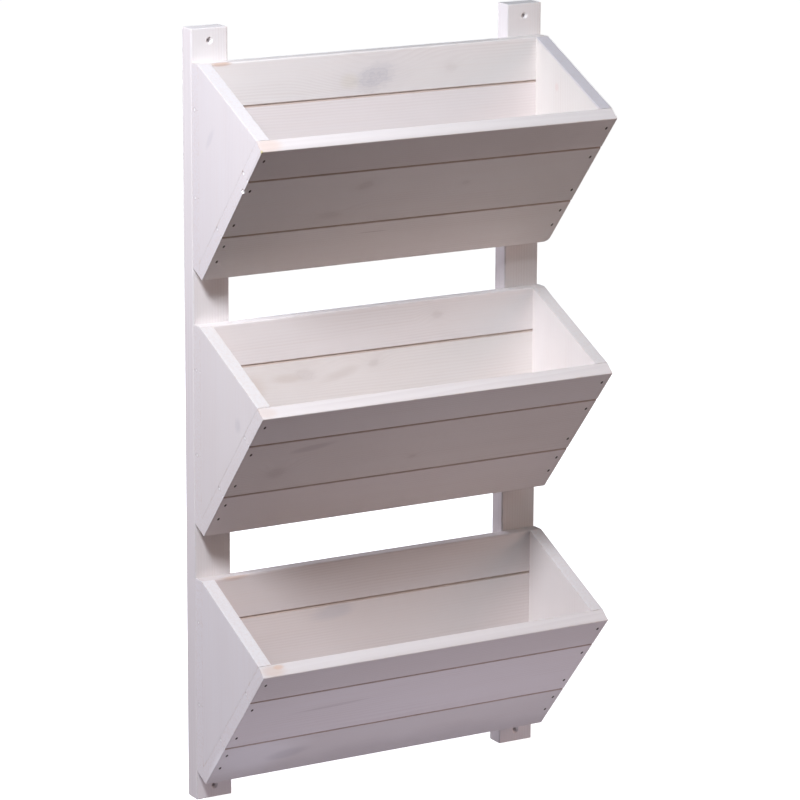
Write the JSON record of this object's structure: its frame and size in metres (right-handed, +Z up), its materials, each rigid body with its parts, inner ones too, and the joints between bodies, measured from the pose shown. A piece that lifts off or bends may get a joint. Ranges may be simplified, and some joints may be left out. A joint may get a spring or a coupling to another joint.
{
  "type": "wall planter",
  "caption": "Wall-hung pine planter: open trough boxes with leaning board fronts, one above the other on two upright battens with countersunk wall-screw holes.",
  "frame": {"origin": "centre of the rectangle of four wall-screw holes, in the plane of the wall that the battens lie against, halfway up the planter", "axes": "+X to the right along the wall, +Y into the wall so that the troughs face -Y, +Z up along the battens"},
  "size_m": [0.508, 0.2082, 1],
  "materials": {
    "glazed_pine_board": "planed pine under a thin white glaze, grain and knots showing faintly",
    "glazed_pine_batten": "planed pine batten under a thin white glaze, eased edges",
    "nail_steel": "dark brad nails sunk just below the glaze",
    "screw_zinc": "zinc-plated countersunk wood screws"
  },
  "bodies": {
    "root": {"left_batten": "glazed_pine_batten", "right_batten": "glazed_pine_batten", "top_box_back_upper_board": "glazed_pine_board", "top_box_front_upper_board": "glazed_pine_board", "top_box_back_middle_board": "glazed_pine_board", "top_box_front_middle_board": "glazed_pine_board", "top_box_back_lower_board": "glazed_pine_board", "top_box_front_lower_board": "glazed_pine_board", "top_box_left_side": "glazed_pine_board", "top_box_right_side": "glazed_pine_board", "middle_box_back_upper_board": "glazed_pine_board", "middle_box_front_upper_board": "glazed_pine_board", "middle_box_back_middle_board": "glazed_pine_board", "middle_box_front_middle_board": "glazed_pine_board", "middle_box_back_lower_board": "glazed_pine_board", "middle_box_front_lower_board": "glazed_pine_board", "middle_box_left_side": "glazed_pine_board", "middle_box_right_side": "glazed_pine_board", "bottom_box_back_upper_board": "glazed_pine_board", "bottom_box_front_upper_board": "glazed_pine_board", "bottom_box_back_middle_board": "glazed_pine_board", "bottom_box_front_middle_board": "glazed_pine_board", "bottom_box_back_lower_board": "glazed_pine_board", "bottom_box_front_lower_board": "glazed_pine_board", "bottom_box_left_side": "glazed_pine_board", "bottom_box_right_side": "glazed_pine_board", "top_box_front_nails": "nail_steel", "top_box_back_nails": "nail_steel", "middle_box_front_nails": "nail_steel", "middle_box_back_nails": "nail_steel", "bottom_box_front_nails": "nail_steel", "bottom_box_back_nails": "nail_steel", "top_box_screws": "screw_zinc", "middle_box_screws": "screw_zinc", "bottom_box_screws": "screw_zinc"}
  },
  "joints": []
}
